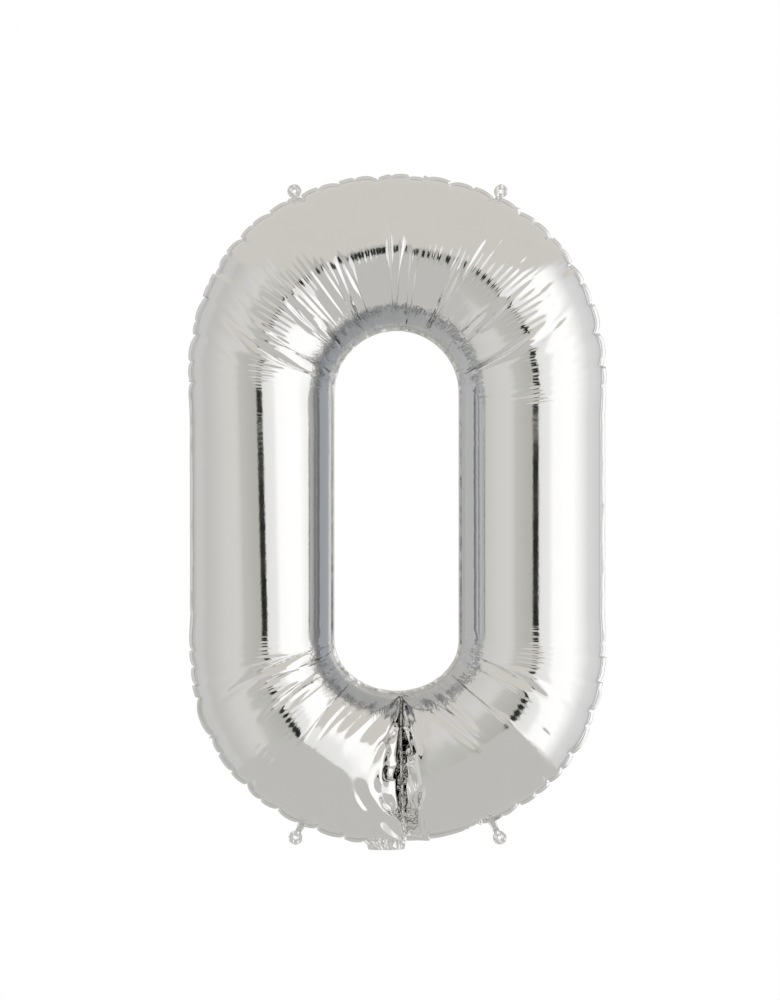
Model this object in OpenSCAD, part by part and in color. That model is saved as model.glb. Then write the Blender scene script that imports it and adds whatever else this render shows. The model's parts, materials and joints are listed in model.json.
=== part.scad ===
// Foil number balloon in the shape of a zero, filled, in millimetres.
// Two sheets of metallised film are welded along their edges into a bent tube that
// starts and ends at the join under the hole. +Z is up and -Y is the front.
// The film is drawn thicker than it is, so that it is a solid with two sides.

/* [Outline] */
// Width across the outer seam of the filled balloon
body_w = 441; // [420:1:470]
// Height from the highest to the lowest point of the outer seam
body_h = 708; // [660:1:760]
// Radius of the bottom corners, to the middle of the tube
corner_r = 115; // [100:1:130]

/* [Tube] */
// Outside radius of the filled tube
tube_r = 71; // [64:0.5:74]
// Thickness that stands for the film
film_t = 0.8; // [0.7:0.1:1.2]

/* [Seams] */
// Width of the welded edge outside the tube
seam_w = 5; // [3:0.5:7]
// Thickness that stands for the two welded films
seam_t = 1; // [0.8:0.1:1.4]
// Distance of the join from the middle of the balloon
join_x = 6; // [0:0.5:12]
// Half of the gap between the two ends of the tube
join_gap = 3.5; // [2.5:0.1:6]
// Width of the welded edge that stands out of each end
end_seam_w = 3.2; // [2:0.1:3.3]

/* [Hanging tabs] */
// Radius of a tab's round head
tab_head_r = 7.3; // [6:0.1:9]
// Length of a tab from its fold to its tip
tab_l = 16.5; // [14:0.5:20]
// Width of a tab at its fold
tab_neck_w = 6.5; // [5:0.1:8]
// Radius of the hole for a thread or ribbon
tab_hole_r = 1.9; // [1.5:0.1:2.5]
// Where the top tabs sit, in degrees from straight up
top_tab_place = 28.7; // [20:0.1:40]
// How far the top tabs lean outwards, in degrees
top_tab_lean = 20; // [15:1:35]
// Where the bottom tabs sit, in degrees from straight down about the corner's centre
low_tab_place = 22.9; // [15:0.1:30]
// How far the bottom tabs lean outwards, in degrees
low_tab_lean = 25; // [15:1:35]

/* [Filling tail and valve] */
// Width of the filling tail
tail_w = 33; // [24:1:36]
// Length of the tail from its fold to its mouth
tail_l = 11; // [8:0.5:16]
// Width of the tail's mouth
mouth_w = 22; // [14:1:26]
// Height of the mouth when the tail lies flat
mouth_t = 0.3; // [0.2:0.05:0.4]
// Width of the valve's two films
valve_w = 24; // [16:1:28]
// Length of the valve inside the tube
valve_l = 72; // [40:1:90]
// Thickness of each valve film
valve_t = 0.4; // [0.3:0.05:0.45]

/* [Folds] */
// Clearance between a folding piece and the seam that it hangs on
fold_gap = 0.1; // [0.08:0.01:0.2]
// Height of the straight landing that a piece folds against
landing_h = 0.6; // [0.4:0.1:1.2]

/* [Hidden] */
$fn = 96;

LEFT = -1;
RIGHT = 1;
FOIL = [0.78, 0.79, 0.80];
SEAM = [0.62, 0.64, 0.67];
TAB = [0.70, 0.71, 0.73];
VALVE = [0.90, 0.91, 0.92];

tube_in = tube_r - film_t;                     // inside radius of the tube
edge_r = tube_r + seam_w;                      // middle of the tube to the seam's edge
path_r = body_w/2 - edge_r;                    // middle of the legs and the top bend
corner_x = path_r - corner_r;                  // centre of each bottom corner
leg_h = body_h - body_w/2 - corner_r - edge_r; // straight part of the legs
fold_r = seam_t/2;                             // round edge that a piece turns on
tail_landing = tube_r + 1.2;                   // middle of the tube to the tail's landing
tail_fold = tail_landing + fold_gap + fold_r;  // middle of the tube to the tail's fold
tail_tip = tail_fold + tail_l;                 // middle of the tube to the tail's mouth

// Heights. The middle of the whole balloon, tail included, is at zero.
low_z = -(leg_h + body_w/2 - corner_r - tail_tip)/2; // bottom of the straight legs
top_z = low_z + leg_h;                               // top of the straight legs
floor_z = low_z - corner_r;                          // middle of the tube at the join

left_end = join_x - join_gap;                  // flat end of the left half
right_end = join_x + join_gap;                 // flat end of the right half
tail_x = left_end - 0.5 - tail_w/2;            // middle of the tail and the valve
eps = 1;                                       // cuts run past the faces they cut

// Stands a flat drawing up: its X stays, its Y becomes +Z and its +Z faces the front.
module upright() {
    rotate([90, 0, 0]) children();
}

// Sweeps a section straight back from where it is drawn, by length l.
module straight(l) {
    rotate([90, 0, 0]) linear_extrude(l) children();
}

// Places children at the start of the bottom straight on one side.
module bottom_start(side) {
    mirror([side == LEFT ? 1 : 0, 0, 0])
        translate([corner_x, low_z, 0]) rotate([0, 0, -90])
            translate([corner_r, 0, 0]) children();
}

// Length of the bottom straight on one side, up to the join.
function bottom_l(side) = side == LEFT ? corner_x + left_end : corner_x - right_end;

// Sweeps a section along the leg, corner and bottom straight of one side.
module along_side(side) {
    mirror([side == LEFT ? 1 : 0, 0, 0]) {
        translate([path_r, top_z, 0]) straight(leg_h) children();
        translate([corner_x, low_z, 0]) rotate([0, 0, -90])
            rotate_extrude(angle = 90) translate([corner_r, 0]) children();
    }
    bottom_start(side) straight(bottom_l(side)) children();
}

// Sweeps a section round the whole zero. Its +X points away from the hole.
module along_path() {
    translate([0, top_z, 0]) rotate_extrude(angle = 180) translate([path_r, 0]) children();
    along_side(LEFT) children();
    along_side(RIGHT) children();
}

// The front half of a disc, as far as the welded layer.
module half_disc(r) {
    intersection() {
        circle(r);
        translate([-r, seam_t/2]) square([2*r, r]);
    }
}

// One film's section: the front half of the tube's wall.
module half_wall() {
    difference() {
        half_disc(tube_r);
        circle(tube_in);
    }
}

// The puckered end of one film, closed flat at the join.
module end_wall(side) {
    bottom_start(side) translate([0, film_t - bottom_l(side), 0])
        straight(film_t) half_disc(tube_r);
}

// One sheet of film, from the left end round to the right end.
module foil_sheet() {
    along_path() half_wall();
    end_wall(LEFT);
    end_wall(RIGHT);
}

module front_foil() {
    color(FOIL) upright() foil_sheet();
}

module back_foil() {
    color(FOIL) upright() mirror([0, 0, 1]) foil_sheet();
}

// Places children at a tab's fold, with +Y pointing out along the tab.
module at_top_tab(side) {
    translate([side*(path_r + edge_r)*sin(top_tab_place),
               top_z + (path_r + edge_r)*cos(top_tab_place), 0])
        rotate([0, 0, -side*top_tab_lean]) children();
}

module at_low_tab(side) {
    translate([side*(corner_x + (corner_r + edge_r)*sin(low_tab_place)),
               low_z - (corner_r + edge_r)*cos(low_tab_place), 0])
        rotate([0, 0, 180 + side*low_tab_lean]) children();
}

// Straight landing on the seam's edge that a tab folds against.
module tab_landing() {
    landing_w = tab_neck_w + 2;
    depth = 3;
    translate([-landing_w/2, -depth, -seam_t/2]) cube([landing_w, depth + landing_h, seam_t]);
}

// The welded edge round the outside, with a landing for each tab and for the tail.
module outer_seam() {
    color(SEAM) upright() difference() {
        union() {
            along_path() translate([tube_in, -seam_t/2]) square([film_t + seam_w, seam_t]);
            for (side = [LEFT, RIGHT]) {
                at_top_tab(side) tab_landing();
                at_low_tab(side) tab_landing();
            }
        }
        translate([tail_x - tail_w/2 - 0.5, floor_z - edge_r - eps, -seam_t])
            cube([tail_w + 1 + eps, edge_r + eps - tail_landing, 2*seam_t]);
    }
}

// The welded edge round the hole. It runs on over the join and ties the two ends.
module inner_seam() {
    color(SEAM) upright() {
        along_path() translate([-edge_r, -seam_t/2]) square([film_t + seam_w, seam_t]);
        translate([left_end, floor_z + tube_in, -seam_t/2])
            cube([2*join_gap, film_t + seam_w, seam_t]);
    }
}

// The weld that closes one end: a web between the films and a strip that stands out.
module end_seam(side) {
    end_x = side == LEFT ? left_end : right_end;
    strip_low = side == LEFT ? tail_landing : edge_r;
    outwards = side == LEFT ? 0 : 1;
    translate([end_x, floor_z, -seam_t/2]) mirror([outwards, 0, 0]) {
        translate([-film_t, -tube_in, 0]) cube([film_t, 2*tube_in, seam_t]);
        translate([0, -strip_low, 0]) cube([end_seam_w, strip_low + tube_in, seam_t]);
    }
}

module left_end_seam() {
    color(SEAM) upright() end_seam(LEFT);
}

module right_end_seam() {
    color(SEAM) upright() end_seam(RIGHT);
}

// One film of the one-way valve, with the two welds at its sides.
module valve_film() {
    weld_w = 2.5;
    translate([tail_x - valve_w/2, floor_z - tube_in, 0]) {
        translate([0, 0, seam_t/2 - valve_t]) cube([valve_w, valve_l, valve_t]);
        for (x = [0, valve_w - weld_w])
            translate([x, 0, 0]) cube([weld_w, valve_l, seam_t/2]);
    }
}

module valve_front_film() {
    color(VALVE) upright() valve_film();
}

module valve_back_film() {
    color(VALVE) upright() mirror([0, 0, 1]) valve_film();
}

// The flat neck that the balloon is filled through. It hangs on a fold and its mouth is open.
module filling_tail() {
    color(TAB) upright() translate([tail_x, floor_z - tail_fold, 0]) difference() {
        union() {
            rotate([0, 90, 0]) cylinder(r = fold_r, h = tail_w, center = true);
            translate([-tail_w/2, -tail_l, -fold_r]) cube([tail_w, tail_l, seam_t]);
        }
        translate([-mouth_w/2, -tail_l - eps, -mouth_t/2]) cube([mouth_w, tail_l - 1, mouth_t]);
    }
}

// A keyhole-shaped tab with its fold at the origin and its head along +Y.
module hanging_tab() {
    shoulder_w = 2*tab_head_r - 3;
    head_y = tab_l - tab_head_r;
    color(TAB) translate([0, landing_h + fold_gap + fold_r, 0]) {
        rotate([0, 90, 0]) cylinder(r = fold_r, h = tab_neck_w, center = true);
        difference() {
            translate([0, 0, -fold_r]) linear_extrude(seam_t) {
                translate([0, head_y]) circle(tab_head_r);
                polygon([[-tab_neck_w/2, 0], [tab_neck_w/2, 0],
                         [shoulder_w/2, head_y - 3], [-shoulder_w/2, head_y - 3]]);
            }
            translate([0, head_y, -seam_t]) cylinder(r = tab_hole_r, h = 2*seam_t);
        }
    }
}

module hanging_tab_top_left() {
    upright() at_top_tab(LEFT) hanging_tab();
}

module hanging_tab_top_right() {
    upright() at_top_tab(RIGHT) hanging_tab();
}

module hanging_tab_bottom_left() {
    upright() at_low_tab(LEFT) hanging_tab();
}

module hanging_tab_bottom_right() {
    upright() at_low_tab(RIGHT) hanging_tab();
}

front_foil();
back_foil();
outer_seam();
inner_seam();
left_end_seam();
right_end_seam();
valve_front_film();
valve_back_film();
filling_tail();
hanging_tab_top_left();
hanging_tab_top_right();
hanging_tab_bottom_left();
hanging_tab_bottom_right();
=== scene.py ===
"""Looks of a silver foil number balloon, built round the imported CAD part.

Two sheets of film are cut flat, welded along their edges and inflated here, so that the creases, the
scalloped edge and the crumpled join come from the film's own spare length. Lengths are in millimetres
until the meshes are made.
"""
import json
import math

import bpy
import numpy as np
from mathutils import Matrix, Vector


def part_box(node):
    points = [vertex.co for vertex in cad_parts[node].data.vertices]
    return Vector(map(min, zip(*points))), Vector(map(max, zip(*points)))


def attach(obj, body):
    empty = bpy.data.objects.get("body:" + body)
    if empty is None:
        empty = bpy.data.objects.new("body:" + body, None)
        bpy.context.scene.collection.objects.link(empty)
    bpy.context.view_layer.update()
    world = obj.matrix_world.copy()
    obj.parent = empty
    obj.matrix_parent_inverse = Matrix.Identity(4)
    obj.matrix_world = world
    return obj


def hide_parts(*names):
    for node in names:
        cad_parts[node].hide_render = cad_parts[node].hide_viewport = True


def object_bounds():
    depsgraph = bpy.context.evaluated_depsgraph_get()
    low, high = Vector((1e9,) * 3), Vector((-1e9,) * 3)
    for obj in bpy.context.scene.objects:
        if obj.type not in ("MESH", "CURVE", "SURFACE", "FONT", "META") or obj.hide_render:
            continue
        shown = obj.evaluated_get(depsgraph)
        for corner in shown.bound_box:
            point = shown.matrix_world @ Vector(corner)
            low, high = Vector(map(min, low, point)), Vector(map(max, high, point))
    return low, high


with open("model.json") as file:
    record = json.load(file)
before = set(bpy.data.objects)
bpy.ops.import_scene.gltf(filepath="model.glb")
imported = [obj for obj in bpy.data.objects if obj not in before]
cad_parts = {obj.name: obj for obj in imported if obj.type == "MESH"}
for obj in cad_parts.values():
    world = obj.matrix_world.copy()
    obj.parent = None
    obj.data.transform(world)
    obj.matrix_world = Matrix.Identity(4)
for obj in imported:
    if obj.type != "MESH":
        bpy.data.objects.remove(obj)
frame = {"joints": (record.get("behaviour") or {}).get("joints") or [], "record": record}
cad_low, cad_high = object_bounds()
MM = 0.001

# ---------------------------------------------------------------- how the film is cut and welded
HOLE_X = -1.0             # the hole's centre, a little left of the object's middle
HOLE_HALF = 70.4          # half the width between the inner welds
HOLE_TOP = 126.8          # where the straight legs turn into the top bend
HOLE_LOW = -135.0         # where they turn into the bottom bend
HOLE_DIP = 58.5           # how far the bottom bend dips below that
# the tube's radius, by direction from the hole in degrees anticlockwise from the right
TUBE_R = ((-180, 72.2), (-135, 77.8), (-92, 77.0), (-75, 74.5), (-45, 77.8), (0, 73.2), (45, 80.6),
          (90, 78.0), (135, 80.8), (180, 72.2))
LOW_R = 76.0              # and at the join
JOIN_X = 4.0              # where the two ends of the tube meet, at the inner weld
JOIN_LEAN = 4.0           # and how much further right they meet at the outer weld
JOIN_BOW = 10.0           # the right end presses this far into the left one, seen from the front
JOIN_TUCK = 8.0           # and the left one this far into the right one, deep inside the join
JOIN_GAP = 1.0            # room for the end seams between the two ends
END_LEAN_RUN = 60.0       # an end leans over to the join within this length of it
TUBE_DEEP = 62.0          # the depth at which the two ends no longer tuck into each other
BEND_ROWS = 0.62          # how much closer together the rows of the mesh lie on the bends
END_ROWS = 6              # and how much closer right at the ends
END_ROWS_RUN = 2.5        # over this length
TURN_LOSS = 1.38          # the flat cut turns this much less sharply than the inflated tube
CAP_RUN = 1.4             # length of the steep cap that presses against the other end
CAP_DEEP = 0.56           # and the share of the tube's depth that it reaches
END_ROUND = 85.0          # length over which an end rounds over from there
END_TAUT = 0.008          # how much the rounded part of an end is stretched tight
END_CAP = 0.10            # extra length in the cap, which swells against the other end
END_SPARE = 0.10          # spare width that crumples at an end
GATHERED = 0.93           # share of the spare film by the hole that gathers into the creases
PINCH_TUCK = 0.020        # how much less wide the film's outer part is at a pinch
EDGE_SPARE = 1.25         # how much of the spare film at the outer edge shows as scallops
# creases by the hole and pinches at the outer edge, by the direction that they lie in from the
# hole, in degrees anticlockwise from the right
CREASES = (164, 141, 114, 86, 65, 39, 16, -166, -148, -126, -18, -40, -56)
CREASE_W = 1.6            # width of a crease
CREASE_STRENGTHS = (1.0, 1.2, 1.1, 1.3, 1.0, 0.9, 0.6, 0.9, 0.8, 0.7, 0.8, 0.7, 0.5)
PINCHES = (176, 165, 155, 145, 135, 126, 116, 106, 95, 85, 75, 64, 54, 45, 36, 26, 17, 8,
           -172, -161, -149, -133, -122, -111, -98, -2, -12, -22, -36, -57, -70, -81)
PINCH_W = 1.3             # width of a pinch


def smooth(values, reach):
    """The values, each averaged with its neighbours up to reach places away."""
    window = np.hanning(2 * reach + 1)
    window /= window.sum()
    return np.convolve(np.pad(values, reach, mode="edge"), window, "valid")


def inner_weld():
    """Points along the inner weld, from the join up the left leg, over the top and back to the join."""
    lean = math.asin((HOLE_X - JOIN_X) / HOLE_HALF)
    low_left = np.linspace(lean, math.pi / 2, 800)
    top = np.linspace(0, math.pi, 2000)[1:]
    low_right = np.linspace(math.pi / 2, -lean, 800)
    up = np.linspace(HOLE_LOW, HOLE_TOP, 1500)[1:]
    side = np.full_like(up, HOLE_HALF)
    x = np.concatenate([-HOLE_HALF * np.sin(low_left), -side, -HOLE_HALF * np.cos(top), side[1:],
                        HOLE_HALF * np.sin(low_right)]) + HOLE_X
    z = np.concatenate([HOLE_LOW - HOLE_DIP * np.cos(low_left), up, HOLE_TOP + HOLE_HALF * np.sin(top),
                        up[-2::-1], HOLE_LOW - HOLE_DIP * np.cos(low_right)])
    return x, z


def lay_out(rows):
    """The tube's path, in rows across it: place, outward direction, bend and radius of each row."""
    x, z = inner_weld()
    dx, dz = np.diff(x), np.diff(z)
    along = np.concatenate([[0], np.cumsum(np.hypot(dx, dz))])
    turn = np.unwrap(np.arctan2(dz, dx))
    turn = smooth(np.append(turn, turn[-1]), 120)
    bend = -np.gradient(turn, along)
    to_end = np.minimum(along, along[-1] - along)
    # rows lie closer together on the bends and at the ends
    weight = 1 + BEND_ROWS * HOLE_HALF * bend + END_ROWS * np.exp(-to_end / END_ROWS_RUN)
    count = np.concatenate([[0], np.cumsum((weight[1:] + weight[:-1]) / 2 * np.diff(along))])
    s = np.interp(np.linspace(0, count[-1], rows), count, along)
    turn = np.interp(s, along, turn)
    out_x, out_z = -np.sin(turn), np.cos(turn)
    radius = np.interp(np.degrees(np.arctan2(out_z, out_x)), *zip(*TUBE_R))
    radius = smooth(radius, rows // 40)
    return {"s": s, "length": s[-1], "x": np.interp(s, along, x), "z": np.interp(s, along, z),
            "out_x": out_x, "out_z": out_z, "bend": np.clip(np.interp(s, along, bend), 0, None),
            "radius": radius}


def round_tube(path, columns):
    """The smooth front half of the tube, rounded over at its two ends, as [xyz, row, column]."""
    angle = np.linspace(0, math.pi, columns)[None, :]
    to_end = np.minimum(path["s"], path["length"] - path["s"])[:, None]
    deep = CAP_DEEP * np.clip(to_end / CAP_RUN, 0, 1) ** 0.8
    rounded = np.clip((to_end - CAP_RUN) / END_ROUND, 0, 1)
    deep = deep + (1 - CAP_DEEP) * np.sqrt(1 - (1 - rounded) ** 2.2)
    out = path["radius"][:, None] * (1 - np.cos(angle))
    left_end = (path["s"] < path["length"] / 2)[:, None]
    z = path["z"][:, None] + path["out_z"][:, None] * out
    x = path["x"][:, None] + path["out_x"][:, None] * out
    near = np.clip(1 - to_end / END_LEAN_RUN, 0, 1) ** 2
    y = -path["radius"][:, None] * np.sin(angle) * deep
    end_line = path["x"][0] + path["out_x"][0] * out
    x = x + near * (join_line(z, y) - end_line - np.where(left_end, 1, -1) * JOIN_GAP / 2)
    return np.stack([x, y, z])


def join_line(z, y):
    """Where the two ends touch, at each height and depth."""
    share = np.clip((z - HOLE_LOW + HOLE_DIP + 2 * LOW_R) / (2 * LOW_R), 0, 1)
    deep = np.clip(1 - (y / TUBE_DEEP) ** 2, 0, 1)
    return JOIN_X + JOIN_LEAN * (1 - share) - (JOIN_BOW - JOIN_TUCK * deep) * np.sin(math.pi * share ** 0.8)


def near_directions(path, directions, width, strengths=None):
    """1 in the rows that lie in the given directions from the hole, falling to 0 beside them."""
    share = np.zeros(len(path["s"]))
    facing = np.degrees(np.arctan2(path["out_z"], path["out_x"]))
    for direction, strength in zip(directions, strengths or [1] * len(directions)):
        at = np.argmin(np.abs((facing - direction + 180) % 360 - 180))
        share += strength * np.exp(-((path["s"] - path["s"][at]) / width) ** 2 / 2)
    return share


def cut_lengths(path, smooth_tube):
    """The flat film's own lengths between neighbouring points: along the tube, across, and diagonal."""
    columns = smooth_tube.shape[2]
    angle = np.linspace(0, math.pi, columns)[None, :]
    to_end = np.minimum(path["s"], path["length"] - path["s"])[:, None]
    turned = path["bend"][:, None] * path["radius"][:, None]
    flat_length = 1 + turned * angle / TURN_LOSS
    spare = np.clip(flat_length / (1 + turned * (1 - np.cos(angle))) - 1, -0.02, None)
    # most of the spare film by the hole gathers into the creases, and little is left on the ridge
    creases = near_directions(path, CREASES, CREASE_W, CREASE_STRENGTHS)
    creases = 1 - GATHERED + creases * GATHERED / creases[path["bend"] > 0.3 / HOLE_HALF].mean()
    ridge = np.exp(-((np.degrees(angle) - 92) / 16) ** 2)
    by_hole = spare * creases[:, None] * (1 - 0.75 * ridge) * np.clip((to_end - 15) / 75, 0.03, 1)
    by_hole = by_hole * np.clip((112 - np.degrees(angle)) / 35, 0.05, 1)
    spare = np.where(angle < math.radians(115), by_hole, spare * EDGE_SPARE)
    # the rounded end is taut, and its cap has enough film to press against the other end
    free = np.clip((angle - 0.2) / 0.3, 0, 1) * np.clip((math.pi - 0.2 - angle) / 0.3, 0, 1)
    spare = spare - free * END_TAUT * np.clip(to_end / 12, 0, 1) * np.clip((90 - to_end) / 40, 0, 1)
    spare = spare + free * END_CAP * np.clip(1 - to_end / 10, 0, 1)
    step = np.sqrt((np.diff(smooth_tube, axis=1) ** 2).sum(0))
    along = step * (1 + 0.5 * (spare[1:] + spare[:-1]))
    # the film is tucked in at each pinch, and crumples at the ends
    strength = [0.5 + (0.618 * index) % 1 for index in range(len(PINCHES))]
    tuck = near_directions(path, PINCHES, PINCH_W, strength)[:, None] * np.clip((angle - 1.9) / 0.6, 0, 1)
    fullness = 1 - tuck * PINCH_TUCK + END_SPARE * np.exp(-(to_end / 9) ** 2)
    across = np.sqrt((np.diff(smooth_tube, axis=2) ** 2).sum(0)) * 0.5 * (fullness[:, 1:] + fullness[:, :-1])
    mean_across = 0.5 * (across[1:] + across[:-1])
    mean_along = 0.5 * (along[:, 1:] + along[:, :-1])
    return along, across, np.hypot(mean_across, mean_along)


def tents(places, centres):
    """Tent-shaped weights round the centres at each place, and the matrix that fits them to values."""
    basis = np.stack([np.interp(places, centres, row) for row in np.eye(len(centres))], 1)
    return basis, np.linalg.pinv(basis)


def pull(a, b, length, share, push):
    """Move two sets of points towards the right distance apart; push is the share when too close."""
    d = b - a
    far = np.sqrt(d[0] * d[0] + d[1] * d[1] + d[2] * d[2]) + 1e-9
    k = 1 - length / far
    d *= np.where(k > 0, k * share, k * push)
    a += d
    b -= d


def hold_lengths(p, along, across, slant, push):
    """Bring neighbouring points back to the film's own lengths: along, across and diagonal."""
    for start in (0, 1):
        n = (p.shape[1] - start) // 2 * 2
        a, b = p[:, start:start + n:2], p[:, start + 1:start + n:2]
        rows = slice(start, start + n - 1, 2)
        pull(a, b, along[rows], 0.5, push)
        pull(a[:, :, :-1], b[:, :, 1:], slant[rows], 0.25, push / 2)
        pull(a[:, :, 1:], b[:, :, :-1], slant[rows], 0.25, push / 2)
    for start in (0, 1):
        n = (p.shape[2] - start) // 2 * 2
        pull(p[:, :, start:start + n:2], p[:, :, start + 1:start + n:2],
             across[:, start:start + n - 1:2], 0.5, push)


def flatten(p, along_share, across_share, most):
    """Bending stiffness: each point moves a little towards the middle of its neighbours."""
    move = np.zeros_like(p)
    for axis, share in ((1, along_share), (2, across_share)):
        mid = (slice(None), slice(1, -1)) if axis == 1 else (slice(None), slice(None), slice(1, -1))
        before = (slice(None), slice(0, -2)) if axis == 1 else (slice(None), slice(None), slice(0, -2))
        after = (slice(None), slice(2, None)) if axis == 1 else (slice(None), slice(None), slice(2, None))
        curl = p[before] + p[after] - 2 * p[mid]
        size = np.sqrt((curl ** 2).sum(0)) + 1e-9
        move[mid] += curl * (share * np.minimum(1, most / size))
    p += move


def outward(p):
    """A vector at each point, square to the film and as long as the film there is stretched."""
    du, dv = np.empty_like(p), np.empty_like(p)
    du[:, 1:-1] = p[:, 2:] - p[:, :-2]
    du[:, 0] = p[:, 1] - p[:, 0]
    du[:, -1] = p[:, -1] - p[:, -2]
    dv[:, :, 1:-1] = p[:, :, 2:] - p[:, :, :-2]
    dv[:, :, 0] = p[:, :, 1] - p[:, :, 0]
    dv[:, :, -1] = p[:, :, -1] - p[:, :, -2]
    n = np.cross(dv, du, axis=0)
    return n / (np.sqrt((n ** 2).sum(0)).mean() + 1e-9)


SPEED_KEPT = 0.96         # share of a point's speed that is left after one step
SHAPE_HELD = 0.05         # share of the drift from the smooth tube, taken broadly, that each step undoes
SMOOTHED_CURL = 0.5       # the film's stiffness moves a point this far at most
END_REACH = 250.0         # the two ends are kept apart within this length of the join


def inflate(p, path, smooth_tube, lengths, steps, press, stiff, push, outer=None):
    """Blow one sheet up from the shape p, in steps; its welds, and the other end, stop it."""
    rows, columns = p.shape[1:]
    along, across, slant = (part.astype(p.dtype) for part in lengths)
    ends = np.array([0, 8, 17, 28, 42, 60], float)
    middle = np.linspace(90, path["length"] - 90, 26)
    centres = np.concatenate([ends, middle, path["length"] - ends[::-1]])
    row_basis, row_fit = tents(path["s"], centres)
    col_basis, col_fit = tents(np.linspace(0, 1, columns), np.linspace(0, 1, 8))
    row_basis, row_fit, col_basis, col_fit = (
        m.astype(p.dtype) for m in (row_basis, row_fit, col_basis, col_fit))
    left = path["s"] < END_REACH
    right = path["s"] > path["length"] - END_REACH
    weld = np.stack([path["x"], np.zeros(rows), path["z"]])
    cell = float(across.mean()) ** 2
    speed = np.zeros_like(p)
    for step in range(steps):
        speed *= SPEED_KEPT
        speed += outward(p) * (press * cell)
        q = p + speed
        drift = np.matmul(np.matmul(row_fit, q - smooth_tube), col_fit.T)
        q -= SHAPE_HELD * np.matmul(np.matmul(row_basis, drift), col_basis.T)
        flatten(q, stiff[0], stiff[1], SMOOTHED_CURL)
        hold_lengths(q, along, across, slant, push)
        # the welds lie in the middle plane, and the film stays in front of it
        q[:, :, 0] = weld
        if outer is not None:
            q[:, :, -1] = outer
        q[1, :, -1] = 0
        q[1, 0] = 0
        q[1, -1] = 0
        np.minimum(q[1], 0, out=q[1])
        # neither end passes the line where they touch
        wall = join_line(q[2, left], q[1, left])
        q[0, left] = np.minimum(q[0, left], wall - JOIN_GAP / 2)
        q[0, 0] = np.maximum(q[0, 0], wall[0] - JOIN_GAP / 2 - 1)
        wall = join_line(q[2, right], q[1, right])
        q[0, right] = np.maximum(q[0, right], wall + JOIN_GAP / 2)
        q[0, -1] = np.minimum(q[0, -1], wall[-1] + JOIN_GAP / 2 + 1)
        speed = q - p
        p = q
    return p


def resample(p, rows, columns):
    """The same surface with more rows and columns."""
    for axis, count in ((1, rows), (2, columns)):
        place = np.linspace(0, p.shape[axis] - 1, count)
        first = np.clip(np.floor(place).astype(int), 0, p.shape[axis] - 2)
        shape = [1, 1, 1]
        shape[axis] = count
        f = (place - first).reshape(shape)
        last = p.shape[axis] - 1
        a, b, c, d = (np.take(p, np.clip(first + k, 0, last), axis=axis) for k in (-1, 0, 1, 2))
        p = b + 0.5 * f * (c - a + f * (2 * a - 5 * b + 4 * c - d + f * (3 * (b - c) + d - a)))
    return p


# the sheet is inflated coarse first, and then finer and finer
LEVELS = (
    # rows, columns, steps, pressure, bending along and across, push
    (241, 27, 1500, 1e-4, (0.01, 0.05), 0.5),
    (481, 53, 1200, 6e-5, (0.006, 0.03), 0.5),
    (955, 104, 900, 3e-5, (0.002, 0.03), 0.5),
)


def foil_half(seed, outer=None):
    """One sheet of film, inflated; outer is the outer weld to follow, where it is already known."""
    random = np.random.default_rng(seed)
    p = None
    for rows, columns, steps, press, stiff, push in LEVELS:
        path = lay_out(rows)
        tube = round_tube(path, columns)
        if p is None:
            p = tube + random.normal(0, 0.5, tube.shape)
        else:
            p = resample(p, rows, columns) + random.normal(0, 0.05, tube.shape)
        lengths = cut_lengths(path, tube)
        edge = None
        if outer is not None:
            edge = resample(outer[:, :, None].repeat(2, 2), rows, 2)[:, :, 0].astype(np.float32)
        p = inflate(p.astype(np.float32), path, tube.astype(np.float32), lengths, steps, press, stiff,
                    push, edge)
    return p, path


def inflated_sheets():
    """Both sheets, and their path; the back one is still drawn towards the front."""
    front, path = foil_half(7)
    back, path = foil_half(8, front[:, :, -1])
    return front, back, path


# ---------------------------------------------------------------- twist and fine wrinkles
LEG_TWIST = 0.10          # the left leg turns by this much, in radians, over TWIST_RUN
TWIST_RUN = 300.0
RIPPLE_STEP = 6.4         # from one fine ripple to the next, along the ridge
RIPPLE_HIGH = 0.16        # how far a fine ripple stands off
CRINKLE_HIGH = 0.5        # the same for the tight crinkles round the hole
FLUTE_HIGH = 0.3          # flutes that run out from those crinkles
CRUMPLE_HIGH = 0.5        # and for the crumpled ends
PUCKER_HIGH = 1.4         # the finest puckers round the hole
LIP_HIGH = 2.4            # the soft roll along each side of the join
LIP_AT = 4.5              # how far from the end it lies
LIP_W = 3.0               # and its width
HOLLOW_AT = 10.5          # the same for the hollow behind it
HOLLOW_W = 2.2
# height and depth of the pinches across the join
END_PINCHES = ((-262.0, 1.6), (-309.0, 1.2), (-225.0, 0.7))
LEG_SECTION = 72.2        # the left leg's radius, for its middle line
END_CLEAR = 40.0          # the wrinkled ends are kept apart within this length of the join


def lumps(random, rows, columns, row_cells, column_cells):
    """Smooth random hills and hollows, about 1 high, as [row, column]."""
    coarse = random.normal(0, 1, (1, row_cells, column_cells))
    return resample(coarse, rows, columns)[0]


def twisted(p):
    """The left leg's section turns a little on its way down, about the leg's own middle line."""
    middle = HOLE_X - HOLE_HALF - LEG_SECTION
    on_leg = np.clip((HOLE_X - HOLE_HALF / 2 - p[0]) / 60, 0, 1)
    turn = LEG_TWIST * np.clip(-p[2] / TWIST_RUN, -0.5, 0.5) * np.clip(2.6 - np.abs(p[2]) / 105, 0, 1)
    p[1] -= on_leg * turn * (p[0] - middle)
    return p


def ridge_run(path):
    """How far along the ridge each row lies."""
    stretch = 1 + path["bend"][1:] * path["radius"][1:]
    return np.concatenate([[0], np.cumsum(np.diff(path["s"]) * stretch)])


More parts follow.
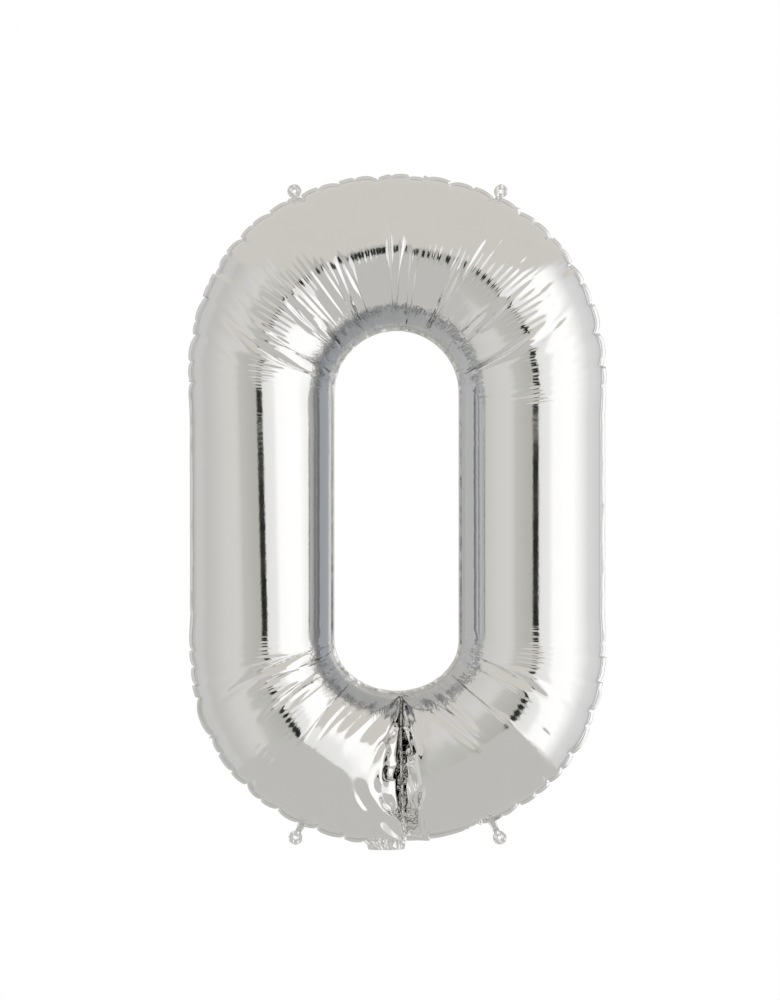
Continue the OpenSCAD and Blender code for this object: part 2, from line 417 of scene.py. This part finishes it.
def bends(path):
    """1 in the rows on the bends and 0 in those on the legs, as a column."""
    return smooth(np.clip(path["bend"] * HOLE_HALF, 0, 1), len(path["s"]) // 90)[:, None]


def ripple_share(path, angle, seed):
    """How strong the ridge's fine ripples are at each point: uneven on the bends, none on the legs."""
    random = np.random.default_rng(seed)
    rows, columns = len(path["s"]), angle.shape[1]
    to_end = np.minimum(path["s"], path["length"] - path["s"])[:, None]
    bent = bends(path) * np.clip((to_end - 60) / 30, 0, 1)
    strength = np.clip(0.8 + 0.4 * lumps(random, rows, 2, rows // 26, 2)[:, 0], 0.2, 1.4)[:, None]
    middle = 89 - 6 * lumps(random, rows, columns, rows // 20, 2)
    return strength * np.exp(-np.abs((angle - middle) / 15) ** 4) * bent


def hole_crinkles(random, angle, to_end):
    """Tight crinkles round the hole, and the flutes that run out from them."""
    rows, columns = len(to_end), angle.shape[1]
    calm = np.clip((to_end - 15) / 60, 0, 1)
    near_hole = np.clip((angle - 4) / 8, 0, 1) * np.clip((40 - angle) / 12, 0, 1)
    tight_crinkles_and_painted_shade = lumps(random, rows, columns, rows // 4, 8) + 0.6 * lumps(random, rows, columns, rows // 2, 14)
    flutes = lumps(random, rows, 2, rows // 5, 2)[:, :1] * np.exp(-((angle - 40) / 11) ** 2) * calm
    return CRINKLE_HIGH * (0.4 + 0.6 * calm) * tight_crinkles_and_painted_shade * near_hole + FLUTE_HIGH * flutes


def end_crumple(random, angle, to_end, height):
    """The crumpled ends, with a soft roll along the join that small pinches cut into lengths."""
    rows, columns = len(to_end), angle.shape[1]
    inside = np.clip(angle / 12, 0, 1) * np.clip((180 - angle) / 12, 0, 1)
    by_end = np.clip(1 - to_end / 16, 0, 1) * inside
    crumple = CRUMPLE_HIGH * np.abs(lumps(random, rows, columns, rows // 9, 18)) * by_end
    facing = np.clip((angle - 20) / 20, 0, 1) * np.clip((165 - angle) / 20, 0, 1)
    roll = np.exp(-((to_end - LIP_AT) / LIP_W) ** 2) - 0.6 * np.exp(-((to_end - HOLLOW_AT) / HOLLOW_W) ** 2)
    for pinch, depth in END_PINCHES:
        near = np.exp(-((height - pinch) / 1.5) ** 2)
        roll = roll * (1 - 0.8 * near)
        crumple = crumple - depth * near * np.clip(1 - to_end / 20, 0, 1)
    return crumple + LIP_HIGH * roll * facing


def wrinkled(p, path, seed):
    """The sheet with what is finer than its own folds: crinkles by the hole and crumpled ends."""
    random = np.random.default_rng(seed)
    normal = outward(p)
    normal /= np.sqrt((normal ** 2).sum(0)) + 1e-9
    angle = np.degrees(np.linspace(0, math.pi, p.shape[2]))[None, :]
    to_end = np.minimum(path["s"], path["length"] - path["s"])[:, None]
    crinkle = hole_crinkles(random, angle, to_end) * (0.06 + 0.94 * bends(path))
    crumple = end_crumple(random, angle, to_end, p[2])
    p = p + normal * (crinkle + crumple).astype(p.dtype)
    left, right = path["s"] < END_CLEAR, path["s"] > path["length"] - END_CLEAR
    p[0, left] = np.minimum(p[0, left], join_line(p[2, left], p[1, left]) - JOIN_GAP / 2)
    p[0, right] = np.maximum(p[0, right], join_line(p[2, right], p[1, right]) + JOIN_GAP / 2)
    return p


# ---------------------------------------------------------------- meshes
def skin(name, grid, closed_rows=False, closed_columns=False):
    """A smooth mesh over a grid of points in millimetres, [xyz, row, column]."""
    rows, columns = grid.shape[1:]
    index = np.arange(rows * columns).reshape(rows, columns)
    if closed_rows:
        index = np.concatenate([index, index[:1]])
    if closed_columns:
        index = np.concatenate([index, index[:, :1]], 1)
    faces = np.stack([index[:-1, :-1], index[1:, :-1], index[1:, 1:], index[:-1, 1:]], -1).reshape(-1, 4)
    mesh = bpy.data.meshes.new(name)
    mesh.from_pydata((grid.reshape(3, -1).T * MM).tolist(), [], faces.tolist())
    mesh.polygons.foreach_set("use_smooth", [True] * len(faces))
    mesh.update()
    piece = bpy.data.objects.new(name, mesh)
    bpy.context.scene.collection.objects.link(piece)
    return piece


def joined(pieces):
    """Several meshes as one piece, which keeps the first one's name."""
    bpy.ops.object.select_all(action="DESELECT")
    for piece in pieces:
        piece.select_set(True)
    bpy.context.view_layer.objects.active = pieces[0]
    bpy.ops.object.join()
    return pieces[0]


def finish_piece(piece, body, node, material):
    """Give a piece its material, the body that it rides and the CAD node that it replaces."""
    piece.data.materials.append(material)
    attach(piece, body)
    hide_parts(node)


# ---------------------------------------------------------------- welded edges
WELD_W = 4.7              # width of the welded edge round the hole
OUTER_WELD_W = 4.0        # and round the outside, where it is crimped
WELD_T = 0.5              # thickness of the two films and the weld
EDGE_CURL = 1.2           # the outer edge curls back this far
LAP = 0.5                 # the edge starts this far inside the weld line
END_WELD_W = 2.3          # width of the weld across an end of the tube
END_WELD_LAP = 0.4        # how far inside the end it starts
END_WELD_T = 0.35         # and its thickness
TAB_LANDING_W = 8.0       # width of the small landing that a tab folds against


def ribbon(line_x, line_z, out_x, out_z, width, wave, line_y=0.0):
    """A closed flat strip along a line, as a grid whose columns go round its section.

    wave says how far each row of its free edge stands off the middle plane."""
    leaves = []
    for thick in (-WELD_T / 2, WELD_T / 2):
        leaf = []
        for share in (0, 0.25, 0.5, 0.75, 1):
            out = width * share if share else -LAP
            y = line_y + wave * share ** 1.5 + thick
            leaf.append(np.stack([line_x + out_x * out, y, line_z + out_z * out]))
        leaves.append(leaf)
    return np.stack(leaves[0] + leaves[1][::-1], 2)


def edge_direction(x, z, reach):
    """Unit direction square to a line, to its left."""
    dx, dz = smooth(np.gradient(x), reach), smooth(np.gradient(z), reach)
    size = np.hypot(dx, dz) + 1e-9
    return -dz / size, dx / size


def landing(x, z, fold, out):
    """A small flat landing that runs from the welded edge out to a tab's fold."""
    side = np.array([out[1], -out[0]])
    nearest = np.argmin(np.hypot(x - fold[0], z - fold[1]))
    reach = np.hypot(x[nearest] - fold[0], z[nearest] - fold[1])
    across = np.linspace(-0.5, 0.5, 7)
    from_w, to_w = TAB_LANDING_W * 1.3, TAB_LANDING_W * 0.8
    line_x = fold[0] - out[0] * reach + side[0] * across * from_w
    line_z = fold[1] - out[1] * reach + side[1] * across * from_w
    to_x, to_z = fold[0] + side[0] * across * to_w, fold[1] + side[1] * across * to_w
    span = np.linspace(0, 1, 6)
    front = np.stack([line_x[:, None] * (1 - span) + to_x[:, None] * span,
                      0.25 * np.sin(across[:, None] * 9) * np.sin(span * 3) - WELD_T / 2.4,
                      line_z[:, None] * (1 - span) + to_z[:, None] * span])
    back = front.copy()
    back[1] += WELD_T / 1.2
    return skin("landing", np.concatenate([front, back[:, :, ::-1]], 2), closed_columns=True)


def outer_seam(edge):
    """The crimped welded edge round the outside, narrow where the tail covers it."""
    random = np.random.default_rng(21)
    rows = edge.shape[1]
    x, z = edge[0].astype(float), edge[2].astype(float)
    out_x, out_z = edge_direction(x, z, 16)
    width = np.full(rows, OUTER_WELD_W)
    low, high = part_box("filling_tail")
    under_tail = (x > low.x / MM - TAIL_SLANT) & (x < high.x / MM + TAIL_COVER) & (z < 0)
    width[under_tail] = np.clip(z[under_tail] - (high.z / MM - 0.3), 0.8, None)
    crimp = EDGE_CURL + 0.2 * lumps(random, rows, 2, rows // 3, 2)[:, 0]
    crimp = crimp + 0.5 * lumps(random, rows, 2, rows // 10, 2)[:, 0]
    strip = ribbon(x, z, out_x, out_z, width, crimp, edge[1])
    parts = [skin("outer_weld", strip, closed_columns=True)]
    for fold, out in tab_places():
        parts.append(landing(x, z, fold, out))
    return joined(parts)


def inner_seam(path):
    """The welded edge round the hole, which ties the two ends together at the join."""
    random = np.random.default_rng(22)
    x, z = path["x"][:-1], path["z"][:-1]
    rows = len(x)
    bend = smooth(np.clip(path["bend"] * HOLE_HALF, 0, 1), 6)[:-1]
    wave = (0.25 + 0.75 * bend) * (0.5 * lumps(random, rows, 2, rows // 5, 2)[:, 0])
    fade = np.clip(np.minimum(np.arange(rows), rows - 1 - np.arange(rows)) / 10, 0, 1)
    edge = ribbon(x, z, -path["out_x"][:-1], -path["out_z"][:-1], np.full(rows, WELD_W), wave * fade)
    return skin("inner_weld", twisted(edge), closed_rows=True, closed_columns=True)


def end_seam(name, row, side, seed):
    """The crumpled weld across one end; side is 1 where it points right."""
    random = np.random.default_rng(seed)
    count = row.shape[1]
    x, z = row[0].astype(float), row[2].astype(float)
    zigzag = 1.1 * np.sin(np.arange(count) * 0.9 + random.uniform(0, 6))
    zigzag += 0.8 * lumps(random, count, 2, count // 4, 2)[:, 0]
    steps = np.linspace(0, 1, 6)
    flat = np.zeros((count, len(steps)))
    front = np.stack([flat + x[:, None] + side * (END_WELD_W * steps - END_WELD_LAP),
                      flat - side * 0.7 - 0.45 * zigzag[:, None] * steps,
                      flat + z[:, None]])
    back = front.copy()
    back[1] += END_WELD_T
    grid = np.concatenate([front, back[:, :, ::-1]], 2)
    return skin(name, grid, closed_columns=True)


# ---------------------------------------------------------------- tabs, tail and valve
TABS = ("tab_top_left", "tab_top_right", "tab_bottom_left", "tab_bottom_right")
TAB_HEAD_R = 7.3          # radius of a tab's round head
TAB_HEAD_AT = 9.2         # from the fold to the head's middle, which is the hole's
TAB_NECK_HALF = 3.25      # half the width of its neck
TAB_HOLE_R = 1.9          # radius of the punched hole
TAB_HALF_T = 0.22         # half its thickness
# the crinkles of its film: height, and how fast they run across the tab and along it
TAB_CRINKLES = ((0.45, 1.15, 0.5), (0.35, -0.7, 0.9), (0.22, 2.1, -1.7))


def tab_places():
    """Each tab's fold and the direction that it points in, as (x, z) pairs in millimetres."""
    places = []
    for name in TABS:
        joint = next(j for j in frame["joints"] if j["name"] == name + "_fold")
        hole = next(m for m in frame["record"]["mounts"] if m["name"] == "hang_hole_" + name[4:])
        fold = np.array([joint["pos_m"][0], joint["pos_m"][2]]) / MM
        out = np.array([hole["pos_m"][0], hole["pos_m"][2]]) / MM - fold
        places.append((fold, out / np.hypot(*out)))
    return places


def hanging_tab(name, fold, out, seed):
    """A keyhole tab of crinkled double film with a punched hole, from its fold outwards."""
    random = np.random.default_rng(seed)
    spokes, rings = 120, 16
    turn = np.linspace(0, 2 * math.pi, spokes, endpoint=False)
    sin, cos = np.sin(turn), np.cos(turn)
    to_side = TAB_NECK_HALF / (np.abs(sin) + 1e-9)
    to_fold = (TAB_HEAD_AT - 0.1) / (np.abs(cos) + 1e-9)
    neck = np.where(cos < 0, np.minimum(to_side, to_fold), 0)
    uneven = 1 + 0.03 * lumps(random, spokes, 2, 14, 2)[:, 0] * (cos > -0.5)
    rim = np.maximum(TAB_HEAD_R * uneven, neck)
    share = np.linspace(0, 1, rings)
    radius = TAB_HOLE_R + (rim[:, None] - TAB_HOLE_R) * share
    u = radius * sin[:, None]
    v = TAB_HEAD_AT + radius * cos[:, None]
    folds = 0
    for high, by_u, by_v in TAB_CRINKLES:
        folds = folds + high * np.sin(by_u * u + by_v * v + random.uniform(0, 6))
    folds = folds * np.clip(v / 4, 0, 1)
    x = fold[0] + out[1] * u + out[0] * v
    z = fold[1] - out[0] * u + out[1] * v
    front = np.stack([x, folds - TAB_HALF_T, z])
    back = np.stack([x, folds + TAB_HALF_T, z])
    grid = np.concatenate([front, back[:, :, ::-1]], 2)
    return skin(name + "_film", grid, closed_rows=True, closed_columns=True)


TAIL_SLANT = 6.0          # how far the tail's left side runs out along the balloon's edge
TAIL_COVER = 6.5          # how far its right side reaches over the lower end of the join
TAIL_FOLD = 0.65          # how far its wrinkles stand off


def tail_film():
    """The filling tail: two wrinkled plies, pressed together near the tip and a little open at the mouth."""
    random = np.random.default_rng(31)
    low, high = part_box("filling_tail")
    rows, columns = 110, 20
    across = np.linspace(0, 1, rows)[:, None]
    down = np.linspace(0, 1, columns)[None, :]
    left = low.x / MM - TAIL_SLANT * (1 - down) ** 1.5
    right = high.x / MM + TAIL_COVER - 1.5 * down ** 2
    x = left + (right - left) * across
    length = (high.z - low.z) / MM - 0.6
    tip = 1 - 0.10 * across ** 6 - 0.05 * (1 - across) ** 4
    z = high.z / MM - 0.3 - down * length * tip
    fine = lumps(random, rows, columns, 30, 3) + 0.8 * lumps(random, rows, columns, 13, 5)
    folds = TAIL_FOLD * fine * np.clip(down * 3, 0.15, 1)
    pressed = np.exp(-((down - 0.84) / 0.05) ** 2)
    folds = folds * (1 - 0.7 * pressed)
    lips = 0.25 + (1.0 * down ** 2 - 0.8 * pressed).clip(0) * np.sin(math.pi * across)
    front = np.stack([x, folds - lips, z])
    back = np.stack([x, folds + lips, z])
    return skin("tail_film", np.concatenate([front, back[:, :, ::-1]], 2), closed_columns=True)


def valve_film(name, node, seed):
    """One clear film of the flat valve inside the tube."""
    random = np.random.default_rng(seed)
    low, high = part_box(node)
    rows, columns = 24, 60
    x = np.linspace(low.x / MM, high.x / MM, rows)[:, None] + np.zeros((rows, columns))
    z = np.linspace(low.z / MM, high.z / MM, columns)[None, :] + np.zeros((rows, columns))
    y = (low.y + high.y) / 2 / MM + 0.12 * lumps(random, rows, columns, 4, 8)
    return skin(name, np.stack([x, y, z]))


# ---------------------------------------------------------------- materials
PAINTED_SHADE_TONE = (0.42, 0.44, 0.465)      # painted shade: the base colour of the crinkled band round the hole, darker and bluer, standing in for the shade and dim reflections there
PUCKERS_ALONG = 0.30      # how fast the finest puckers change along the tube
PUCKERS_AROUND = 0.09     # and round it, which is slower, so that they are streaks


def node_material(name):
    """A new material, with its node tree and its surface node."""
    material = bpy.data.materials.new(name)
    material.use_nodes = True
    tree = material.node_tree
    return material, tree, tree.nodes["Principled BSDF"]


def add(tree, kind, **values):
    """A new node with the given settings."""
    node = tree.nodes.new(kind)
    for key, value in values.items():
        setattr(node, key, value)
    return node


def noise(tree, scale, detail, rough=0.5):
    """A noise texture that is fixed to the piece."""
    where = add(tree, "ShaderNodeTexCoord")
    texture = add(tree, "ShaderNodeTexNoise")
    texture.inputs["Scale"].default_value = scale
    texture.inputs["Detail"].default_value = detail
    texture.inputs["Roughness"].default_value = rough
    tree.links.new(where.outputs["Object"], texture.inputs["Vector"])
    return texture


def math_node(tree, operation, *values):
    """The result of a sum on numbers or on other nodes' results."""
    node = add(tree, "ShaderNodeMath", operation=operation)
    for index, value in enumerate(values):
        if isinstance(value, (int, float)):
            node.inputs[index].default_value = value
        else:
            tree.links.new(value, node.inputs[index])
    return node.outputs[0]


def blend_colour(tree, share, first, second):
    """The first colour where share is 0 and the second one where it is 1."""
    node = add(tree, "ShaderNodeMix", data_type="RGBA")
    tree.links.new(share, node.inputs["Factor"])
    for socket, value in ((node.inputs[6], first), (node.inputs[7], second)):
        if isinstance(value, tuple):
            socket.default_value = value + (1,)
        else:
            tree.links.new(value, socket)
    return node.outputs[2]


def ripple_bump(tree):
    """The ridge's fine ripples and the finest puckers by the hole, too small for the mesh.

    The mesh says how far along (X) and round the tube (Y) a point is, and how rippled it is (Z)."""
    place = add(tree, "ShaderNodeAttribute", attribute_name="place")
    parts = add(tree, "ShaderNodeSeparateXYZ")
    tree.links.new(place.outputs["Vector"], parts.inputs["Vector"])
    wave = math_node(tree, "MULTIPLY", parts.outputs["X"], 2 * math.pi / RIPPLE_STEP)
    rippled = math_node(tree, "MULTIPLY", math_node(tree, "SINE", wave), parts.outputs["Z"])
    ripple = math_node(tree, "MULTIPLY", rippled, RIPPLE_HIGH)
    streaks = add(tree, "ShaderNodeCombineXYZ")
    tree.links.new(math_node(tree, "MULTIPLY", parts.outputs["X"], PUCKERS_ALONG), streaks.inputs["X"])
    tree.links.new(math_node(tree, "MULTIPLY", parts.outputs["Y"], PUCKERS_AROUND), streaks.inputs["Y"])
    pucker = add(tree, "ShaderNodeTexNoise")
    pucker.inputs["Scale"].default_value = 1.0
    pucker.inputs["Detail"].default_value = 2.0
    tree.links.new(streaks.outputs["Vector"], pucker.inputs["Vector"])
    where = add(tree, "ShaderNodeAttribute", attribute_name="puckered")
    puckers = math_node(tree, "MULTIPLY", pucker.outputs["Fac"], where.outputs["Fac"])
    height = math_node(tree, "ADD", ripple, math_node(tree, "MULTIPLY", puckers, PUCKER_HIGH))
    bump = add(tree, "ShaderNodeBump")
    bump.inputs["Strength"].default_value = 1.0
    bump.inputs["Distance"].default_value = MM
    tree.links.new(height, bump.inputs["Height"])
    return bump.outputs["Normal"]


def foil_material(name, colour, rough_low, rough_high, bump_scale, bump_high, sheet=False):
    """Bright aluminium film: a mirror with a faint haze and a fine unevenness.

    On a sheet it is also rippled, and has painted shade, a darker and bluer base colour, where the mesh
    marks the crinkled band round the hole."""
    material, tree, shader = node_material(name)
    shader.inputs["Metallic"].default_value = 1.0
    haze = noise(tree, 38, 3)
    tone = add(tree, "ShaderNodeValToRGB")
    tone.color_ramp.elements[0].position = 0.3
    tone.color_ramp.elements[0].color = tuple(c * 0.985 for c in colour) + (1,)
    tone.color_ramp.elements[1].position = 0.7
    tone.color_ramp.elements[1].color = tuple(colour) + (1,)
    tree.links.new(haze.outputs["Fac"], tone.inputs["Fac"])
    tree.links.new(tone.outputs["Color"], shader.inputs["Base Color"])
    if sheet:
        # painted shade: the base colour goes darker and bluer over the crinkled band round the hole, by the
        # mask that the mesh carries
        tight_crinkles_and_painted_shade = add(tree, "ShaderNodeAttribute", attribute_name="painted_shade")
        painted_shade_colour = blend_colour(tree, tight_crinkles_and_painted_shade.outputs["Fac"], tone.outputs["Color"], PAINTED_SHADE_TONE)
        tree.links.new(painted_shade_colour, shader.inputs["Base Color"])
    rough = add(tree, "ShaderNodeMapRange")
    rough.inputs["From Min"].default_value = 0.3
    rough.inputs["From Max"].default_value = 0.7
    rough.inputs["To Min"].default_value = rough_low
    rough.inputs["To Max"].default_value = rough_high
    tree.links.new(haze.outputs["Fac"], rough.inputs["Value"])
    tree.links.new(rough.outputs["Result"], shader.inputs["Roughness"])
    fine = noise(tree, bump_scale, 4, 0.55)
    bump = add(tree, "ShaderNodeBump")
    bump.inputs["Strength"].default_value = 1.0
    bump.inputs["Distance"].default_value = bump_high
    tree.links.new(fine.outputs["Fac"], bump.inputs["Height"])
    if sheet:
        tree.links.new(ripple_bump(tree), bump.inputs["Normal"])
    tree.links.new(bump.outputs["Normal"], shader.inputs["Normal"])
    return material


def valve_material():
    """Clear slightly milky polyethylene film."""
    material, tree, shader = node_material("valve_film")
    shader.inputs["Metallic"].default_value = 0.0
    shader.inputs["Alpha"].default_value = 0.55
    milk = noise(tree, 60, 2)
    tone = add(tree, "ShaderNodeValToRGB")
    tone.color_ramp.elements[0].color = (0.70, 0.72, 0.73, 1)
    tone.color_ramp.elements[1].color = (0.80, 0.82, 0.83, 1)
    tree.links.new(milk.outputs["Fac"], tone.inputs["Fac"])
    tree.links.new(tone.outputs["Color"], shader.inputs["Base Color"])
    shader.inputs["Roughness"].default_value = 0.25
    return material


# ---------------------------------------------------------------- room, floor and camera
# brightness of the room round the balloon, by direction in degrees from the camera, + to the right
WALLS = ((-180, (0.44, 0.45, 0.47)), (-160, (0.46, 0.46, 0.48)), (-146, (0.60, 0.60, 0.595)),
         (-120, (0.62, 0.62, 0.615)), (-103, (0.575, 0.57, 0.555)), (-88, (0.605, 0.60, 0.58)),
         (-62, (0.68, 0.67, 0.66)), (-42, (0.70, 0.69, 0.675)), (-36, (0.67, 0.66, 0.63)),
         (-30, (0.57, 0.57, 0.54)), (-10, (0.50, 0.50, 0.465)), (6, (0.48, 0.48, 0.45)),
         (8.5, (0.84, 0.84, 0.83)), (24, (0.90, 0.90, 0.895)), (32, (1.1, 1.1, 1.1)),
         (66, (1.15, 1.15, 1.15)), (84, (0.98, 0.98, 0.98)), (104, (0.76, 0.765, 0.77)),
         (146, (0.66, 0.66, 0.665)), (158, (0.46, 0.46, 0.48)), (180, (0.44, 0.45, 0.47)))
ABOVE = (0.66, 0.64, 0.605)
BELOW = (0.56, 0.555, 0.54)
GAP = (0.02, 0.02, 0.02)
# the ceiling starts at this height, and the floor at this depth, for each unit of distance sideways
ABOVE_FROM = 0.72
BELOW_FROM = -0.84
SOFT_EDGE = 0.10          # and over this much they blend into the walls
FAR = 50.0                # steeper than any direction that is looked in
# the dark gap round the camera, in degrees sideways and in height
GAP_ACROSS = (-0.5, 6.5)
GAP_UPRIGHT = (-0.10, 0.03)


def band(tree, value, low, high, soft_low, soft_high):
    """1 between low and high, falling to 0 over the soft widths outside them."""
    up = add(tree, "ShaderNodeMapRange", interpolation_type="SMOOTHSTEP")
    up.inputs["From Min"].default_value = low - soft_low
    up.inputs["From Max"].default_value = low
    tree.links.new(value, up.inputs["Value"])
    down = add(tree, "ShaderNodeMapRange", interpolation_type="SMOOTHSTEP")
    down.inputs["From Min"].default_value = high
    down.inputs["From Max"].default_value = high + soft_high
    down.inputs["To Min"].default_value = 1.0
    down.inputs["To Max"].default_value = 0.0
    tree.links.new(value, down.inputs["Value"])
    return math_node(tree, "MULTIPLY", up.outputs["Result"], down.outputs["Result"])


def studio():
    """A pale room with a wide white light on the right and the dark gap round the camera."""
    world = bpy.data.worlds.new("studio")
    bpy.context.scene.world = world
    world.use_nodes = True
    tree = world.node_tree
    tree.nodes.clear()
    where = add(tree, "ShaderNodeTexCoord")
    axes = add(tree, "ShaderNodeSeparateXYZ")
    tree.links.new(where.outputs["Generated"], axes.inputs[0])
    toward = math_node(tree, "MULTIPLY", axes.outputs["Y"], -1.0)
    turn = math_node(tree, "ARCTAN2", axes.outputs["X"], toward)
    degrees = math_node(tree, "MULTIPLY", turn, 180 / math.pi)
    height = axes.outputs["Z"]
    ring = add(tree, "ShaderNodeMapRange")
    ring.inputs["From Min"].default_value = -180
    ring.inputs["From Max"].default_value = 180
    tree.links.new(degrees, ring.inputs["Value"])
    walls = add(tree, "ShaderNodeValToRGB")
    stops = walls.color_ramp.elements
    stops.remove(stops[-1])
    for index, (place, colour) in enumerate(WALLS):
        stop = stops[0] if index == 0 else stops.new((place + 180) / 360)
        stop.position = (place + 180) / 360
        stop.color = colour + (1,)
    tree.links.new(ring.outputs["Result"], walls.inputs["Fac"])
    sideways = math_node(tree, "ADD", math_node(tree, "ABSOLUTE", axes.outputs["X"]), 0.10)
    steep = math_node(tree, "DIVIDE", height, sideways)
    top = band(tree, steep, ABOVE_FROM, FAR, SOFT_EDGE, 1.0)
    low = band(tree, steep, -FAR, BELOW_FROM, 1.0, SOFT_EDGE)
    colour = blend_colour(tree, top, walls.outputs["Color"], ABOVE)
    colour = blend_colour(tree, low, colour, BELOW)
    gap = math_node(tree, "MULTIPLY", band(tree, degrees, *GAP_ACROSS, 3.0, 2.0),
                    band(tree, height, *GAP_UPRIGHT, 0.06, 0.03))
    colour = blend_colour(tree, gap, colour, GAP)
    room = add(tree, "ShaderNodeBackground")
    tree.links.new(colour, room.inputs["Color"])
    page = add(tree, "ShaderNodeBackground")
    page.inputs["Color"].default_value = (1, 1, 1, 1)
    rays = add(tree, "ShaderNodeLightPath")
    pick = add(tree, "ShaderNodeMixShader")
    tree.links.new(rays.outputs["Is Camera Ray"], pick.inputs[0])
    tree.links.new(room.outputs[0], pick.inputs[1])
    tree.links.new(page.outputs[0], pick.inputs[2])
    out = add(tree, "ShaderNodeOutputWorld")
    tree.links.new(pick.outputs[0], out.inputs["Surface"])


FLOOR_DROP = 0.35         # from the balloon's lowest point down to the floor, in metres
CAMERA_FAR = 2.6          # from the camera to the balloon
CAMERA_X = -0.008         # the camera stands this far to the left of the balloon's middle
CAMERA_Z = 0.0134         # and this far above it
FRAME_TALL = 1.06         # height of the picture at the balloon, in metres
SENSOR = 36               # width of the camera's sensor, in its own millimetres


def floor_and_camera():
    """A pale floor below the balloon, which it doesn't mirror, and the camera in front of it."""
    bpy.ops.mesh.primitive_plane_add(size=12, location=(0, 0, cad_low.z - FLOOR_DROP))
    floor = bpy.context.object
    floor.name = "studio_floor"
    material, tree, shader = node_material("pale_floor")
    shader.inputs["Base Color"].default_value = (0.82, 0.82, 0.81, 1)
    shader.inputs["Roughness"].default_value = 0.9
    glow = add(tree, "ShaderNodeEmission")
    rays = add(tree, "ShaderNodeLightPath")
    pick = add(tree, "ShaderNodeMixShader")
    out = tree.nodes["Material Output"]
    tree.links.new(rays.outputs["Is Camera Ray"], pick.inputs[0])
    tree.links.new(shader.outputs[0], pick.inputs[1])
    tree.links.new(glow.outputs[0], pick.inputs[2])
    tree.links.new(pick.outputs[0], out.inputs["Surface"])
    floor.data.materials.append(material)
    floor.visible_glossy = False
    lens = bpy.data.cameras.new("camera")
    camera = bpy.data.objects.new("camera", lens)
    bpy.context.scene.collection.objects.link(camera)
    camera.location = (CAMERA_X, -CAMERA_FAR, CAMERA_Z)
    camera.rotation_euler = (math.pi / 2, 0, 0)
    lens.sensor_width = SENSOR
    lens.lens = SENSOR * CAMERA_FAR / FRAME_TALL
    bpy.context.scene.camera = camera
    bpy.context.scene.view_settings.view_transform = "Standard"


def mark_film(sheet, path, columns, back_to_front):
    """Write on the mesh where its film takes painted shade, and where it is puckered and rippled, for the
    foil's material.
    """
    rows = len(path["s"])
    angle = np.linspace(0, 180, columns)[None, :]
    facing = path["out_x"][:, None]
    wander = lumps(np.random.default_rng(81), rows, columns, rows // 8, 3)
    # painted shade mask: the crinkled band round the hole, narrower and fainter where the film faces right,
    # and fainter right at the hole's edge
    edge = 42 - 6 * np.clip(facing, 0, 1) + 3 * wander * (1 - np.abs(facing))
    tight_crinkles_and_painted_shade = np.clip((edge - angle) / 7, 0, 1)
    tight_crinkles_and_painted_shade = tight_crinkles_and_painted_shade * (0.72 - 0.28 * facing) * (0.4 + 0.6 * np.clip((angle - 8) / 8, 0, 1))
    puckered = np.clip((50 - angle) / 12, 0, 1) * bends(path)
    place = np.zeros((rows, columns, 3), np.float32)
    place[:, :, 0] = (ridge_run(path) + 1.2 * wander[:, 0])[:, None]
    place[:, :, 1] = np.radians(angle) * path["radius"][:, None]
    place[:, :, 2] = ripple_share(path, angle, 43)
    for name, kind, field, values in (("painted_shade", "FLOAT", "value", tight_crinkles_and_painted_shade),
                                      ("puckered", "FLOAT", "value", puckered),
                                      ("place", "FLOAT_VECTOR", "vector", place)):
        if back_to_front:
            values = values[::-1]
        layer = sheet.data.attributes.new(name, kind, "POINT")
        layer.data.foreach_set(field, np.ascontiguousarray(values, np.float32).ravel())


def build():
    """Every visible piece, on its body and with its material."""
    foil = foil_material("mirror_foil", (0.90, 0.895, 0.885), 0.05, 0.10, 260, 0.00004, sheet=True)
    weld = foil_material("pressed_weld", (0.90, 0.90, 0.895), 0.14, 0.24, 900, 0.00008)
    tab = foil_material("tab_foil", (0.86, 0.86, 0.86), 0.08, 0.18, 700, 0.0001)
    clear = valve_material()
    front, back, path = inflated_sheets()
    front = wrinkled(front, path, 41)
    back = wrinkled(back, path, 42)
    back[1] *= -1
    front, back = twisted(front), twisted(back)
    for name, grid, node in (("front_film", front, "front_foil"), ("back_film", back, "back_foil")):
        # the back sheet's rows run the other way, so that its faces look backwards
        is_back = name == "back_film"
        sheet = skin(name, grid[:, ::-1] if is_back else grid)
        mark_film(sheet, path, grid.shape[2], is_back)
        finish_piece(sheet, "balloon", node, foil)
    finish_piece(outer_seam(front[:, :, -1]), "balloon", "outer_seam", weld)
    finish_piece(inner_seam(path), "balloon", "inner_seam", weld)
    left_weld = end_seam("left_end_weld", front[:, 0], 1, 51)
    finish_piece(left_weld, "balloon", "left_end_seam", weld)
    right_weld = end_seam("right_end_weld", front[:, -1], -1, 52)
    finish_piece(right_weld, "balloon", "right_end_seam", weld)
    for side, seed in (("front", 61), ("back", 62)):
        node = "valve_" + side + "_film"
        finish_piece(valve_film("valve_" + side + "_ply", node, seed), "balloon", node, clear)
    finish_piece(tail_film(), "tail", "filling_tail", weld)
    for index, (name, (fold, out)) in enumerate(zip(TABS, tab_places())):
        finish_piece(hanging_tab(name, fold, out, 70 + index), name, "hanging_" + name, tab)


studio()
floor_and_camera()
build()
